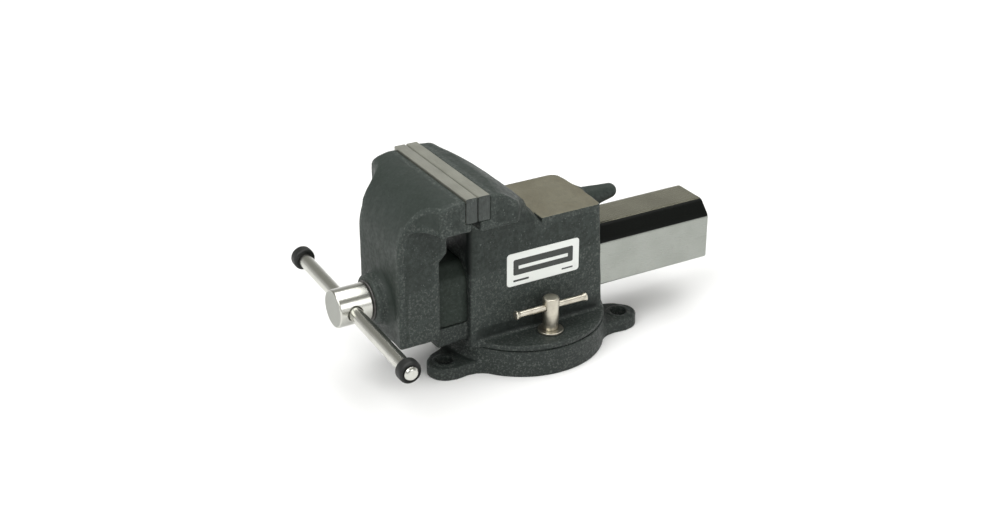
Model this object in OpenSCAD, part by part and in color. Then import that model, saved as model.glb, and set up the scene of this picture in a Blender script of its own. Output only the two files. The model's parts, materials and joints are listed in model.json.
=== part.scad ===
// Bench vise on a swivel base, closed.
// Origin: the swivel axis, on the bench. +Z is up, -Y is the handle end, +X is the labelled side.

/* [Jaws] */
// Width of the jaws
jaw_w = 125; // [116:1:134]
// Height of the jaw plates' top edge over the bench
jaw_top = 173.8; // [173:0.1:175]
// Where the closed jaws meet, measured from the swivel axis
meet_y = -75.8; // [-76.2:0.1:-75.4]
// Thickness of each jaw plate
plate_t = 10.6; // [9:0.1:11]
// Height of each jaw plate
plate_h = 21.3; // [19:0.1:24]
// How far the front jaw opens
jaw_travel = 120; // [60:5:120]

/* [Castings] */
// Width of the body below the jaws
body_w = 73.4; // [70:0.2:78]
// Front face of the rear casting
body_front = -69; // [-70:0.5:-68]
// Rear edge of the anvil
anvil_back = 55.7; // [50:0.1:58]
// Height of the anvil's face
anvil_top = 128.3; // [125:0.1:131]
// Front face of the front casting
nose_y = -134; // [-137:0.5:-131]
// Underside of the front casting
foot_z = 40; // [36:0.5:42]
// Radius of the scoop under each jaw end
scoop_r = 25.8; // [22:0.2:27]

/* [Slide bar] */
// Width of the slide bar
bar_w = 57.6; // [54:0.2:60]
// Underside of the slide bar
bar_z0 = 45.3; // [45:0.1:47]
// Top of the slide bar
bar_z1 = 98.7; // [96:0.1:100]
// Wall of the slide bar, an upturned U
bar_wall = 7.7; // [6:0.1:8.2]

/* [Spindle] */
// Height of the spindle's axis
axis_z = 72.7; // [71:0.1:74]
// Radius of the spindle's thread
rod_r = 12; // [10:0.5:12]
// Radius of the spindle's head
head_r = 16; // [15:0.5:18]
// Front end of the spindle's head
head_y = -176; // [-180:0.5:-174]

/* [Handle] */
// Where the handle crosses the spindle's axis
handle_y = -162.8; // [-164:0.1:-162]
// Lean of the handle at rest
handle_tilt = 2.8; // [0:0.1:10]
// How far the handle has slid to the near side
handle_shift = 9.5; // [0:0.5:30]
// Radius of the handle bar
handle_r = 6; // [5:0.1:6.5]
// Length of the handle bar
handle_l = 214; // [180:1:240]
// Radius of the end caps
cap_r = 9.6; // [9:0.2:11]
// Length of the end caps
cap_l = 10; // [8:0.5:16]

/* [Lock bolts] */
// Distance of each lock bolt from the swivel axis
lock_x = 50; // [49:0.5:51]
// Top of the lock bolts
lock_top = 60.7; // [58:0.1:64]
// Height of the small bars through the lock bolts
lock_bar_z = 52; // [50:0.5:54]
// Half length of the small bars
lock_bar_half = 34.7; // [28:0.1:40]

/* [Base] */
// Radius of the base ring
base_r = 72.6; // [71:0.1:75]
// Height of the base ring
base_h = 24; // [22:0.5:24]
// Thickness of the mounting lugs
lug_h = 11; // [9:0.5:14]
// Distance of the bench bolts from the swivel axis
bolt_circle_r = 90; // [87:0.5:94]
// Angle of the two side lugs from the X axis
lug_angle = 75; // [68:1:80]
// Radius of the bench bolt holes
bolt_hole_r = 7; // [5.5:0.25:7.5]

/* [Hidden] */
$fn = 96;

gap = 0.3;              // between parts that slide past each other
fit = 0.08;             // radial clearance of a running fit
jaw_seam = 0.1;         // each plate stands this far from the meeting line
plate_z0 = jaw_top - plate_h;
front_plate_y = meet_y - plate_t;
rear_plate_y = meet_y + plate_t;

// Flange and floor of the rear casting
flange_r = base_r - 0.6;
flange_t = 5;
flange_top = base_h + flange_t;
floor_z = bar_z0 - gap;
skirt = 6;              // slope where the body's sides meet the flange
body_back = anvil_back + 4.3;
tongue_front = -96.5;
tongue_z0 = 27;
body_corner_r = 7;

// Wings of the jaws
wing_z = 142;           // underside of the rear casting's wings
rear_lip_y = meet_y + 2.2;
rear_scoop_y = -10;
front_lip_y = meet_y - 5.8;
front_head_z = 144.5;
casting_back = -97;
neck_y = -90;
neck_z = 118;
brow_z = 122;           // where the front face starts to curve back
brow_run = 44;
front_top = jaw_top - 1.8;

// Horn behind the anvil
horn_root = [0, anvil_back, 116.2];
horn_root_r = 11.9;
horn_tip = [0, 89.3, 119];
horn_tip_r = 6.6;
horn_end_r = 3.5;
horn_end_t = 5.5;

// Slide bar
bar_flat = 34.6;        // width of its top between the corner slopes
bar_corner_z = 12.3;
bar_front = nose_y + 13;
bar_back = anvil_back + 1 + jaw_travel;
bar_in = bar_w / 2 - bar_wall;

// Boss on the front casting
boss_front = -145;
boss_r = 21.5;
boss_root_r = 27;

// Spindle and what sits on it
head_back = -146.5;
nut_half = 20;
nut_w = 40;
nut_top = 90;
rod_back = nut_half + jaw_travel + 5;
spring_back = bar_front + 25.5;
washer_t = 1.5;
collar_r = 17;
pin_y = spring_back + washer_t + 2.1;
pin_r = 2;
head_edge = 1.5;

// Screws and bolts
plate_screw_x = 38;
plate_screw_r = 4;
plate_screw_head_r = 6.6;
plate_screw_head_t = 5;
plate_screw_l = 26;
nut_bolt_y = 12;
nut_bolt_r = 5;
nut_bolt_top = 57;
nut_seat_z = 31;
lock_head_r = 7;
lock_washer_r = 11;
lock_washer_t = 2;
lock_shank_r = 6;
lock_bar_r = 2.9;
lock_flare_r = 4;
lock_flare_l = 3.5;

// Base ring
lip_r = 60;
lip_z = 14;
cavity_r = 66.2;
lug_r = 15.5;
lug_root = 24;
lock_plate_t = 8;
lock_plate_w = 34;

// Label
label_size = [70, 30];
label_low = [-35, 72.2];
label_r = 3;
label_t = 0.4;

CAST = "#474d4c";
STEEL = "#b9b5a6";
CHROME = "#d9dcde";
DARK = "#5b5b58";

// ---------- helpers ----------

// A Y-Z outline made as wide as w along X
module across(w) {
    rotate([90, 0, 90]) linear_extrude(w, center = true) children();
}

// An X-Z outline run from y0 to y1
module along(y0, y1) {
    translate([0, y1, 0]) rotate([90, 0, 0]) linear_extrude(y1 - y0) children();
}

// A round bar along Y
module rod_y(r, y0, y1) {
    translate([0, y0, 0]) rotate([-90, 0, 0]) cylinder(r = r, h = y1 - y0);
}

// A ring along Y
module ring_y(r_out, r_in, y0, y1) {
    difference() {
        rod_y(r_out, y0, y1);
        rod_y(r_in, y0 - 1, y1 + 1);
    }
}

module mirrored_x() {
    children();
    mirror([1, 0, 0]) children();
}

// Outside of the slide bar, grown by g
module bar_outline(g = 0) {
    half = bar_w / 2 + g;
    flat = bar_flat / 2 + g / 2;
    polygon([
        [-half, bar_z0 - g], [half, bar_z0 - g], [half, bar_z1 - bar_corner_z],
        [flat, bar_z1 + g], [-flat, bar_z1 + g], [-half, bar_z1 - bar_corner_z]
    ]);
}

// A jaw plate between y0 and y1, bored for its two screws, whose heads sink into the face at face_y
module jaw_plate(y0, y1, face_y) {
    inward = face_y == y1 ? -1 : 1;
    color(STEEL) difference() {
        translate([-jaw_w / 2, y0, plate_z0]) cube([jaw_w, y1 - y0, plate_h]);
        for (x = [-plate_screw_x, plate_screw_x]) translate([x, 0, plate_z0 + plate_h / 2]) {
            rod_y(plate_screw_r + 0.3, y0 - 1, y1 + 1);
            translate([0, face_y, 0]) scale([1, inward, 1])
                rod_y(plate_screw_head_r + 0.3, -1, plate_screw_head_t + 1);
        }
    }
}

// The two socket screws of a jaw plate, pointing from face_y towards dir
module plate_screws(face_y, dir) {
    color(DARK) for (x = [-plate_screw_x, plate_screw_x])
        translate([x, face_y + dir, plate_z0 + plate_h / 2]) scale([1, dir, 1]) difference() {
            union() {
                rod_y(plate_screw_head_r, 0, plate_screw_head_t);
                rod_y(plate_screw_r - 0.05, 0, plate_screw_l - 1);
            }
            rotate([-90, 0, 0]) translate([0, 0, -1]) cylinder(r = 3.5, h = 4, $fn = 6);
        }
}

module plate_screw_holes(face_y, dir) {
    for (x = [-plate_screw_x, plate_screw_x])
        translate([x, face_y, plate_z0 + plate_h / 2]) scale([1, dir, 1])
            rod_y(plate_screw_r, -1, plate_screw_l - plate_t + 2);
}

// ---------- base ----------

module lug_outline() {
    reach = bolt_circle_r;
    union() {
        translate([reach, 0]) circle(lug_r);
        polygon([[cavity_r + 1, -lug_root], [reach, -lug_r], [reach, lug_r], [cavity_r + 1, lug_root]]);
    }
}

module base_ring() {
    lug_angles = [-lug_angle, lug_angle, 180];
    color(CAST) difference() {
        union() {
            cylinder(r = base_r, h = base_h - 1);
            translate([0, 0, base_h - 1]) cylinder(r1 = base_r, r2 = base_r - 1, h = 1);
            for (a = lug_angles) rotate(a) linear_extrude(lug_h) lug_outline();
        }
        translate([0, 0, -1]) cylinder(r = lip_r, h = base_h + 2);
        translate([0, 0, -1]) cylinder(r = cavity_r, h = lip_z + 1);
        for (a = lug_angles) rotate(a) translate([bolt_circle_r, 0, -1]) cylinder(r = bolt_hole_r, h = lug_h + 2);
    }
}

// ---------- rear casting ----------

// Side view of the rear casting above the flange: jaw, slope and anvil
module rear_profile() {
    slope = [[-53, jaw_top - 0.4], [-46.5, 170.6], [-38, 164.6], [-25, 154.6], [-16, 146.6], [-4, 135.4]];
    polygon(concat(
        [[body_back, base_h], [body_front, base_h], [body_front, wing_z - 4], [rear_lip_y, wing_z + 2]],
        [[rear_lip_y, plate_z0], [rear_plate_y, plate_z0], [rear_plate_y, jaw_top - 0.4]],
        slope,
        [[3, anvil_top], [anvil_back, anvil_top], [body_back, 36]]
    ));
}

// Plan of the rear casting's body, with rounded rear corners
module body_plan() {
    half = body_w / 2;
    inner = body_back - body_corner_r;
    translate([-half, rear_lip_y - 1]) square([body_w, inner - rear_lip_y + 1]);
    translate([body_corner_r - half, inner - 1]) square([body_w - 2 * body_corner_r, body_corner_r + 1]);
    for (x = [body_corner_r - half, half - body_corner_r]) translate([x, inner]) circle(body_corner_r);
}

module rear_wings() {
    difference() {
        intersection() {
            across(jaw_w) rear_profile();
            translate([-jaw_w / 2, rear_lip_y - 1, wing_z])
                cube([jaw_w, rear_scoop_y - rear_lip_y + 1, jaw_top]);
        }
        mirrored_x() translate([jaw_w / 2, rear_scoop_y, wing_z - 1]) cylinder(r = scoop_r, h = 50);
    }
}

module horn() {
    run = horn_tip - horn_root;
    length = norm(run);
    translate(horn_root) rotate([-acos(run[2] / length), 0, 0]) {
        cylinder(r1 = horn_root_r, r2 = horn_tip_r, h = length);
        translate([0, 0, length]) cylinder(r1 = horn_tip_r, r2 = horn_end_r, h = horn_end_t);
    }
}

// Slopes between the body's sides and the flange
module body_skirt() {
    half = body_w / 2;
    along(-60, 52) polygon([
        [-half - skirt, flange_top], [half + skirt, flange_top],
        [half, flange_top + skirt], [-half, flange_top + skirt]
    ]);
}

module rear_casting() {
    color(CAST) difference() {
        union() {
            intersection() {
                across(body_w) rear_profile();
                translate([0, 0, base_h]) linear_extrude(jaw_top) body_plan();
            }
            rear_wings();
            horn();
            body_skirt();
            translate([0, 0, base_h]) cylinder(r = flange_r, h = flange_t - 3);
            translate([0, 0, flange_top - 3]) cylinder(r1 = flange_r, r2 = flange_r - 2.5, h = 3);
            translate([0, 0, base_h - flange_t]) cylinder(r = lip_r - gap, h = flange_t);
            translate([-bar_w / 2, tongue_front, tongue_z0])
                cube([bar_w, body_front - tongue_front + 5, floor_z - tongue_z0]);
        }
        along(-200, 200) bar_outline(gap);
        for (y = [-nut_bolt_y, nut_bolt_y]) translate([0, y, 0]) {
            cylinder(r = nut_bolt_r + 0.5, h = 60);
            cylinder(r = 11, h = nut_seat_z);
        }
        mirrored_x() translate([lock_x, 0, 0]) {
            cylinder(r = lock_shank_r + 0.5, h = flange_top + 1);
            translate([0, 0, flange_top]) cylinder(r = lock_washer_r + 0.8, h = 12);
        }
        plate_screw_holes(rear_plate_y, 1);
    }
}

module rear_jaw_plate() {
    jaw_plate(meet_y + jaw_seam, rear_plate_y, meet_y + jaw_seam);
}

module rear_plate_screws() {
    plate_screws(meet_y + jaw_seam, 1);
}

module label_plate() {
    color("white") translate([body_w / 2, label_low[0], label_low[1]]) rotate([90, 0, 90])
        linear_extrude(label_t) {
            translate([label_r, 0]) square([label_size[0] - 2 * label_r, label_size[1]]);
            translate([0, label_r]) square([label_size[0], label_size[1] - 2 * label_r]);
            for (x = [label_r, label_size[0] - label_r], y = [label_r, label_size[1] - label_r])
                translate([x, y]) circle(label_r);
        }
}

// ---------- nut ----------

module spindle_nut() {
    color(DARK) difference() {
        translate([-nut_w / 2, -nut_half, floor_z]) cube([nut_w, 2 * nut_half, nut_top - floor_z]);
        translate([0, 0, axis_z]) rod_y(rod_r + fit, -nut_half - 1, nut_half + 1);
        for (y = [-nut_bolt_y, nut_bolt_y]) translate([0, y, floor_z - 1])
            cylinder(r = nut_bolt_r + 0.05, h = nut_bolt_top + 2 - floor_z);
    }
}

module nut_bolts() {
    head_t = 6.4;
    color(DARK) for (y = [-nut_bolt_y, nut_bolt_y]) translate([0, y, 0]) {
        translate([0, 0, nut_seat_z - 2 - head_t]) cylinder(r = 9.2, h = head_t, $fn = 6);
        translate([0, 0, nut_seat_z - 3]) cylinder(r = nut_bolt_r, h = nut_bolt_top - nut_seat_z + 3);
    }
}

module nut_washers() {
    color(DARK) for (y = [-nut_bolt_y, nut_bolt_y]) translate([0, y, nut_seat_z - 2]) difference() {
        cylinder(r = 10, h = 2);
        translate([0, 0, -1]) cylinder(r = nut_bolt_r + 0.2, h = 4);
    }
}

// ---------- swivel lock ----------

module lock_plate() {
    top = lip_z - gap;
    color(DARK) difference() {
        intersection() {
            translate([0, 0, top - lock_plate_t]) cylinder(r = cavity_r - gap, h = lock_plate_t);
            translate([-cavity_r, -lock_plate_w / 2, 0]) cube([2 * cavity_r, lock_plate_w, top]);
        }
        mirrored_x() translate([lock_x, 0, 0]) cylinder(r = lock_shank_r + fit, h = top + 1);
    }
}

module lock_bolt() {
    color(STEEL) translate([lock_x, 0, 0]) difference() {
        union() {
            translate([0, 0, 4]) cylinder(r = lock_shank_r, h = flange_top);
            translate([0, 0, flange_top + lock_washer_t]) cylinder(r = 6.4, h = 12);
            translate([0, 0, flange_top + lock_washer_t + 11])
                cylinder(r = lock_head_r, h = lock_top - flange_top - lock_washer_t - 12.2);
            translate([0, 0, lock_top - 1.2])
                cylinder(r1 = lock_head_r, r2 = lock_head_r - 1.2, h = 1.2);
        }
        translate([0, 0, lock_bar_z]) rod_y(lock_bar_r + gap, -lock_head_r - 1, lock_head_r + 1);
    }
}

module lock_washer() {
    color(STEEL) translate([lock_x, 0, flange_top]) difference() {
        cylinder(r = lock_washer_r, h = lock_washer_t);
        translate([0, 0, -1]) cylinder(r = lock_shank_r + 0.3, h = lock_washer_t + 2);
    }
}

module lock_bar() {
    color(STEEL) translate([lock_x, 0, lock_bar_z]) {
        rod_y(lock_bar_r, -lock_bar_half, lock_bar_half);
        for (s = [-1, 1]) scale([1, s, 1])
            translate([0, lock_bar_half - lock_flare_l, 0]) rotate([-90, 0, 0])
                cylinder(r1 = lock_bar_r, r2 = lock_flare_r, h = lock_flare_l);
    }
}

module lock_bolt_near() lock_bolt();
module lock_bolt_far() mirror([1, 0, 0]) lock_bolt();
module lock_washer_near() lock_washer();
module lock_washer_far() mirror([1, 0, 0]) lock_washer();
module lock_bar_near() lock_bar();
module lock_bar_far() mirror([1, 0, 0]) lock_bar();

// ---------- front jaw ----------

// Side view of the front casting; its face curves back to the jaw along a quarter ellipse
module front_profile() {
    brow_y = nose_y + brow_run;
    brow_rise = front_top - brow_z;
    polygon(concat(
        [[casting_back, foot_z], [nose_y, foot_z]],
        [for (a = [0 : 7.5 : 90]) [brow_y - brow_run * cos(a), brow_z + brow_rise * sin(a)]],
        [[front_plate_y, front_top], [front_plate_y, plate_z0], [front_lip_y, plate_z0]],
        [[front_lip_y, front_head_z], [neck_y, front_head_z], [neck_y, neck_z], [casting_back, neck_z - 7]]
    ));
}

module front_wings() {
    difference() {
        intersection() {
            across(jaw_w) front_profile();
            translate([-jaw_w / 2, nose_y, front_head_z]) cube([jaw_w, 80, jaw_top]);
        }
        mirrored_x() translate([jaw_w / 2, nose_y, front_head_z - 1]) cylinder(r = scoop_r, h = 50);
    }
}

module front_casting() {
    color(CAST) difference() {
        union() {
            across(body_w) front_profile();
            front_wings();
            translate([0, nose_y + 1, axis_z]) rotate([90, 0, 0])
                cylinder(r1 = boss_root_r, r2 = boss_r, h = nose_y + 1 - boss_front);
        }
        along(bar_front, casting_back + 1) bar_outline();
        translate([0, 0, axis_z]) rod_y(rod_r + fit, boss_front - 1, bar_front + 1);
        plate_screw_holes(front_plate_y, -1);
    }
}

module front_jaw_plate() {
    jaw_plate(front_plate_y, meet_y - jaw_seam, meet_y - jaw_seam);
}

module front_plate_screws() {
    plate_screws(meet_y - jaw_seam, -1);
}

// An upturned U, so that the nut can stand inside it
module slide_bar() {
    color(CHROME) difference() {
        along(bar_front, bar_back) bar_outline();
        translate([-bar_in, bar_front - 1, bar_z0 - 1])
            cube([2 * bar_in, bar_back - bar_front + 2, bar_z1 - bar_wall - bar_z0 + 1]);
    }
}

// ---------- spindle ----------

module spindle() {
    color(CHROME) difference() {
        translate([0, 0, axis_z]) {
            rod_y(head_r, head_y + head_edge, head_back);
            translate([0, head_y, 0]) rotate([-90, 0, 0])
                cylinder(r1 = head_r - head_edge, r2 = head_r, h = head_edge);
            rod_y(rod_r, head_back - 1, rod_back - 2);
            translate([0, rod_back - 2, 0]) rotate([-90, 0, 0]) cylinder(r1 = rod_r, r2 = rod_r - 2, h = 2);
        }
        translate([0, handle_y, axis_z]) rotate([0, 90 + handle_tilt, 0])
            cylinder(r = handle_r + gap, h = 4 * head_r, center = true);
        translate([0, pin_y, axis_z]) cylinder(r = pin_r + 0.1, h = 4 * rod_r, center = true);
    }
}

module thrust_washer() {
    color(DARK) translate([0, 0, axis_z]) ring_y(collar_r, rod_r + 0.1, head_back, boss_front);
}

module spindle_spring() {
    color(STEEL) translate([0, 0, axis_z]) ring_y(collar_r - 0.5, rod_r + 1, bar_front, spring_back);
}

module spring_washer() {
    color(DARK) translate([0, 0, axis_z]) ring_y(collar_r, rod_r + 0.1, spring_back, spring_back + washer_t);
}

module split_pin() {
    color(STEEL) translate([0, pin_y, axis_z]) cylinder(r = pin_r, h = 2 * collar_r, center = true);
}

// ---------- handle ----------

// A point on the handle's own axis, s from its middle towards the near side
module on_handle(s) {
    translate([0, handle_y, axis_z]) rotate([0, handle_tilt, 0]) translate([handle_shift + s, 0, 0])
        rotate([0, 90, 0]) children();
}

module handle_bar() {
    edge = 1.2;
    color(CHROME) on_handle(-handle_l / 2) {
        translate([0, 0, edge]) cylinder(r = handle_r, h = handle_l - 2 * edge);
        cylinder(r1 = handle_r - edge, r2 = handle_r, h = edge);
        translate([0, 0, handle_l - edge]) cylinder(r1 = handle_r, r2 = handle_r - edge, h = edge);
    }
}

// A cap that lets the bar's end show; out is 1 near, -1 far
module handle_cap(out) {
    outer = handle_l / 2 - 2.8;
    color("#222222") on_handle(out > 0 ? outer - cap_l : -outer) difference() {
        cylinder(r = cap_r, h = cap_l);
        translate([0, 0, -1]) cylinder(r = handle_r, h = cap_l + 2);
    }
}

module handle_cap_near() handle_cap(1);
module handle_cap_far() handle_cap(-1);

base_ring();
rear_casting();
rear_jaw_plate();
rear_plate_screws();
label_plate();
spindle_nut();
nut_bolts();
nut_washers();
lock_plate();
lock_bolt_near();
lock_bolt_far();
lock_washer_near();
lock_washer_far();
lock_bar_near();
lock_bar_far();
front_casting();
front_jaw_plate();
front_plate_screws();
slide_bar();
spindle();
thrust_washer();
spindle_spring();
spring_washer();
split_pin();
handle_bar();
handle_cap_near();
handle_cap_far();
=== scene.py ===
"""The looks of the bench vise: smooth castings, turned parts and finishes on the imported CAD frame.

Lengths here are millimetres, and MM turns them into Blender's metres. The frame is the CAD's: the origin is
on the swivel axis at the bench, +Z is up, -Y is the handle end and +X is the labelled side.

Castings and machined blocks are distance fields: functions of x, y and z that are negative inside. A field
is turned into a mesh, and the same field gives the mesh its normals and tells where its edges wear.
"""

import json
import math

import bpy
import numpy as np
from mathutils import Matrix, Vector


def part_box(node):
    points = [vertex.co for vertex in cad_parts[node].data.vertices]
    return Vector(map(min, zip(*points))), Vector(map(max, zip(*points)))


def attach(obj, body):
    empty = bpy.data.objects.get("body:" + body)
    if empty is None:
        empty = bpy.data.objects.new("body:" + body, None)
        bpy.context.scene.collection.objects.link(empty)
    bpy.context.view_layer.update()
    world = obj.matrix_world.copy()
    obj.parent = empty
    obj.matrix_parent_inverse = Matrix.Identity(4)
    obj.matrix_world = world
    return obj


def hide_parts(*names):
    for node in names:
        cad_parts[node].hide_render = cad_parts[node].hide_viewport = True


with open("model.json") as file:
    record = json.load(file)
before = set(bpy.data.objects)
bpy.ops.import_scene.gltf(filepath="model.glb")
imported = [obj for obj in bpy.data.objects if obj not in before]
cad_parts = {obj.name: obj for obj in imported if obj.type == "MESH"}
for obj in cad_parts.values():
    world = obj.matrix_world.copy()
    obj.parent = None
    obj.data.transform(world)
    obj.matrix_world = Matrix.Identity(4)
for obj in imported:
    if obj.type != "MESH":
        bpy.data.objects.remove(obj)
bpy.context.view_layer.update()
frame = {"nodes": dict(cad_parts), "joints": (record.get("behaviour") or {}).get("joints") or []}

MM = 0.001


# ---------- sizes read from the frame ----------

def span(node):
    """A CAD node's lowest and highest corner, in mm."""
    low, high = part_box(node)
    return np.array(low) / MM, np.array(high) / MM


def joint(name):
    return next(j for j in frame["joints"] if j["name"] == name)


front_plate_low, front_plate_high = span("front_jaw_plate")
rear_plate_low, rear_plate_high = span("rear_jaw_plate")
bar_low, bar_high = span("slide_bar")
front_low, front_high = span("front_casting")
rear_low, rear_high = span("rear_casting")
ring_low, ring_high = span("base_ring")
label_low, label_high = span("label_plate")
spindle_low, spindle_high = span("spindle")
lock_low, lock_high = span("lock_bolt_near")
lock_bar_low, lock_bar_high = span("lock_bar_near")
spring_low, spring_high = span("spindle_spring")

jaw_half = front_plate_high[0]
jaw_top = front_plate_high[2]
plate_z0 = front_plate_low[2]
axis_z = joint("spindle_turn")["pos_m"][2] / MM
lock_x = joint("lock_turn_near")["pos_m"][0] / MM
body_half = label_low[0]
flange_top = span("lock_washer_near")[0][2]
bar_half = bar_high[0]
base_top = ring_high[2]

# ---------- sizes of the castings ----------

nose_y = front_low[1] + 11          # front face of the front casting
foot_z = front_low[2]
front_back = -97.0                  # its rear face, and the neck and lip above it
neck_y = -90.0
neck_z = 118.0
lip_y = -81.6
brow_z, brow_run = 122.0, 44.0      # the brow is a quarter ellipse
brow_y, brow_rise = nose_y + brow_run, front_high[2] - brow_z
front_head_z = 144.5
scoop_r = 25.8
boss_y, boss_r = front_low[1], 21.5
spindle_bore_r = 12.2
plate_seat_edge = 1.6

rear_front = -69.0                  # front face of the rear casting, and its lip under the plate
rear_lip_y = rear_low[1] + 22.9
wing_z = 142.0
rear_scoop_y = -10.0
rear_top = rear_high[2]
slope_y, slope_z, slope_r = -240.9, -108.2, 340.0   # the slope behind the jaw is an arc
deck_fall = 0.11                    # how the jaw's top falls away behind its plate
droop_depth = 4.0                   # how far the slope drops towards its two sides
foot_depths = (4.6, 3.4)            # and its foot towards the near side, in two steps
anvil_front, anvil_back = -2.0, 55.7
anvil_top = 128.3
back_draft = 0.047
back_bow = 2.0
near_corner_r, far_corner_r = 2.5, 7.0
flange_r = 72.0
tongue_front, tongue_z, tongue_rise = -96.5, 26.8, 0.09
horn_root, horn_root_r = np.array([0.0, 52.0, 116.0]), 12.2
horn_tip, horn_tip_r = np.array([0.0, 88.2, 119.0]), 6.6
bar_gap = 0.4
bolt_seat_r, bolt_way_r = 11.8, 6.6  # under each lock washer
nut_bolt_y, nut_bolt_r, nut_bolt_z = 12.0, 5.5, 60.0
counterbore_r, counterbore_z = 11.0, 31.0

ring_r, lip_r, cavity_r, lip_z = 72.6, 60.0, 66.2, 14.0
lug_reach, lug_r, lug_root, lug_top = 90.0, 15.5, 24.0, 11.0
lug_angles = (-75.0, 75.0, 180.0)
bolt_hole_r = 7.0

# ---------- sizes of the bar, the plates and the turned parts ----------

bar_flat, bar_drop = 17.3, 12.3     # half of the bar's flat top, and how far its sloping corners fall
channel_half, channel_top = 21.1, 91.0
groove_pitch, groove_depth = 3.0, 0.5
plate_screw_x, screw_way_r, screw_head_r, screw_head_depth = 38, 4.3, 6.9, 6

head_r, rod_r = 16.0, 12.0
head_back = span("thrust_washer")[0][1]
neck_end = bar_low[1] + 32          # where the spindle's thread starts
handle_bar_low, handle_bar_high = span("handle_bar")
handle_axis = np.array(joint("handle_slide")["axis"], float)
handle_mid = np.array([0.0, (handle_bar_low[1] + handle_bar_high[1]) / 2, axis_z])
handle_r, handle_half, handle_shift = 6.0, 107.0, 9.5
handle_middle = handle_mid + handle_axis * handle_shift
handle_nose = 2.8                   # length of the bar's rounded ends, outside its caps
cap_r = 9.6
cap_out = handle_half - handle_nose
cap_in = cap_out - 10
lock_r, lock_bar_r, lock_bar_end_r = 7.0, 2.9, 4.0
lock_bar_z = (lock_bar_low[2] + lock_bar_high[2]) / 2
lock_bar_half = lock_bar_high[1]
washer_r, washer_t = 11.0, 2.0


# ---------- distance fields ----------

def both(a, b, r=0.0):
    """Where a and b overlap, with the edge between them rounded to radius r."""
    if np.isscalar(r) and r == 0:
        return np.maximum(a, b)
    u, v = a + r, b + r
    return np.minimum(np.maximum(u, v), 0) + np.hypot(np.maximum(u, 0), np.maximum(v, 0)) - r


def either(a, b, r=0.0):
    """a and b together, with a fillet of radius r between them."""
    return -both(-a, -b, r)


def minus(a, b, r=0.0):
    """a without b, with the new edge rounded to radius r."""
    return both(a, -b, r)


def between(v, low, high):
    return np.maximum(low - v, v - high)


def smooth(v, low, high):
    """0 below low, 1 above high, and a smooth step between."""
    t = np.clip((v - low) / (high - low), 0, 1)
    return t * t * (3 - 2 * t)


def bar_field(x, y, z, r=2.2):
    """The slide bar's outside: a box with sloping top corners, endless along Y."""
    run = bar_half - bar_flat
    length = math.hypot(run, bar_drop)
    shoulder = ((np.abs(x) - bar_flat) * bar_drop + (z - bar_high[2]) * run) / length
    shape = both(np.abs(x) - bar_half, between(z, bar_low[2], bar_high[2]), r)
    return both(shape, shoulder, r)


def capsule(x, y, z, a, b, ra, rb):
    """A rod from a to b whose radius goes from ra to rb, with round ends."""
    d = b - a
    t = np.clip(((x - a[0]) * d[0] + (y - a[1]) * d[1] + (z - a[2]) * d[2]) / (d @ d), 0, 1)
    far = np.sqrt((x - a[0] - t * d[0]) ** 2 + (y - a[1] - t * d[1]) ** 2 + (z - a[2] - t * d[2]) ** 2)
    return far - ra - t * (rb - ra)


def front_field(x, y, z):
    """The front jaw, with its brow, its two scoops and the boss for the spindle."""
    side = np.abs(x)
    back, rise = np.minimum(y - brow_y, 0), np.maximum(z - brow_z, 0)
    share = np.hypot(back / brow_run, rise / brow_rise)
    brow = np.where(share > 0.02, np.hypot(back, rise) * (1 - 1 / np.maximum(share, 0.02)), -brow_run)
    rear = y - np.interp(z, [neck_z - 7, neck_z], [front_back, neck_y])
    body = both(both(side - body_half, foot_z - z, 2.0), rear, 2.0)
    head = both(both(side - jaw_half, front_head_z - z, 3.0), y - lip_y, 1.5)
    scoop = np.hypot(side - jaw_half, y - nose_y) - scoop_r
    head = minus(head, scoop, 1.2)
    shape = both(either(body, head, 5.0), brow, 2.0 + 3.0 * smooth(-x, 25, 50))
    boss = np.hypot(x, z - axis_z) - boss_r
    boss = both(boss, between(y, boss_y, nose_y + 20), 2.6)
    shape = either(shape, boss, 6.5)
    seat = both(front_plate_low[1] - y, plate_z0 - z)
    shape = minus(shape, seat, plate_seat_edge)
    shape = minus(shape, both(bar_field(x, y, z), bar_low[1] - y), 0.5)
    bore = np.hypot(x, z - axis_z) - spindle_bore_r
    return minus(shape, bore, 0.8)


def rear_top_field(x, y, z):
    """What lies under the rear jaw's top and the slope behind it."""
    droop = droop_depth * smooth(np.abs(x), 24, 62)
    foot = foot_depths[0] * smooth(x, -5, 13) + foot_depths[1] * smooth(x, 13, 37)
    foot = foot * (1 - smooth(z, 130, 156))
    slope = np.hypot(y - slope_y, z - slope_z + droop + foot) - slope_r
    deck = z - rear_top + deck_fall * np.maximum(y - rear_plate_high[1], 0) + 0.2 * droop
    return both(deck, slope, 1.5)


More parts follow.
